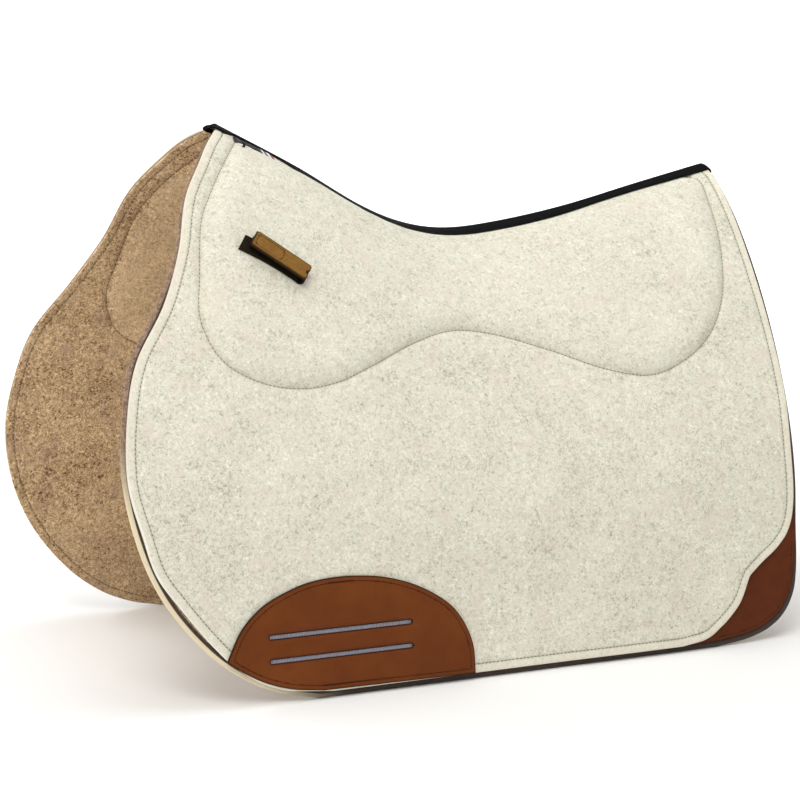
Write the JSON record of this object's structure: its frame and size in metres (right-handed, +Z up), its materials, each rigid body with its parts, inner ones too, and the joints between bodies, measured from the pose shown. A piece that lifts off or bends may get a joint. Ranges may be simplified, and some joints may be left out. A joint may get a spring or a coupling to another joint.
{
  "type": "saddle pad",
  "caption": "Contoured felt saddle pad in two layered halves joined by a bound spine, with leather girth patches, corner guards and keeper straps.",
  "frame": {"origin": "on the floor, under the middle of the pad's box", "axes": "+X along the spine to the rear, -Y the pad's left side, +Z up"},
  "size_m": [0.7751, 0.4652, 0.5669],
  "materials": {
    "outer_felt": "cream melange wool felt",
    "lining_felt": "brown melange wool felt",
    "insert_foam": "soft felt or foam",
    "patch_leather": "smooth chestnut leather",
    "guard_leather": "smooth dark chestnut leather",
    "tab_leather": "tan leather",
    "webbing": "woven nylon",
    "hook_and_loop": "hook and loop tape",
    "binding_tape": "woven tape",
    "grey_backing": "grey felt",
    "label_cloth": "woven label"
  },
  "bodies": {
    "spine": {"spine_binding": "binding_tape"},
    "left_panel": {"left_lining_felt": "lining_felt", "left_padding_insert": "insert_foam", "left_outer_felt": "outer_felt", "left_corner_guard": "guard_leather", "left_girth_patch_backing": "grey_backing", "left_girth_patch": "patch_leather", "left_pocket_tab": "grey_backing", "left_keeper_base": "webbing", "left_keeper_loop_patch": "hook_and_loop", "woven_label": "label_cloth"},
    "right_panel": {"right_lining_felt": "lining_felt", "right_padding_insert": "insert_foam", "right_outer_felt": "outer_felt", "right_corner_guard": "guard_leather", "right_girth_patch_backing": "grey_backing", "right_girth_patch": "patch_leather", "right_pocket_tab": "grey_backing", "right_keeper_base": "webbing", "right_keeper_loop_patch": "hook_and_loop"},
    "left_keeper": {"left_keeper_strap": "webbing", "left_keeper_leather": "tab_leather", "left_keeper_hook_patch": "hook_and_loop"},
    "right_keeper": {"right_keeper_strap": "webbing", "right_keeper_leather": "tab_leather", "right_keeper_hook_patch": "hook_and_loop"}
  },
  "joints": [
    {"name": "left_panel_spread", "type": "hinge", "parent": "spine", "child": "left_panel", "pos_m": [-0.214, 0, 0.5592], "axis": [-0.9961, 0, 0.0881], "range_deg": [0, 8]},
    {"name": "right_panel_spread", "type": "hinge", "parent": "spine", "child": "right_panel", "pos_m": [-0.214, 0, 0.5592], "axis": [0.9961, 0, -0.0881], "range_deg": [0, 8]},
    {"name": "left_keeper_open", "type": "hinge", "parent": "left_panel", "child": "left_keeper", "pos_m": [-0.17284, -0.13037, 0.41111], "axis": [0.593, 0.4762, 0.6493], "range_deg": [0, 112]},
    {"name": "right_keeper_open", "type": "hinge", "parent": "right_panel", "child": "right_keeper", "pos_m": [-0.17284, 0.13037, 0.41111], "axis": [-0.593, 0.4762, -0.6493], "range_deg": [0, 112]}
  ]
}
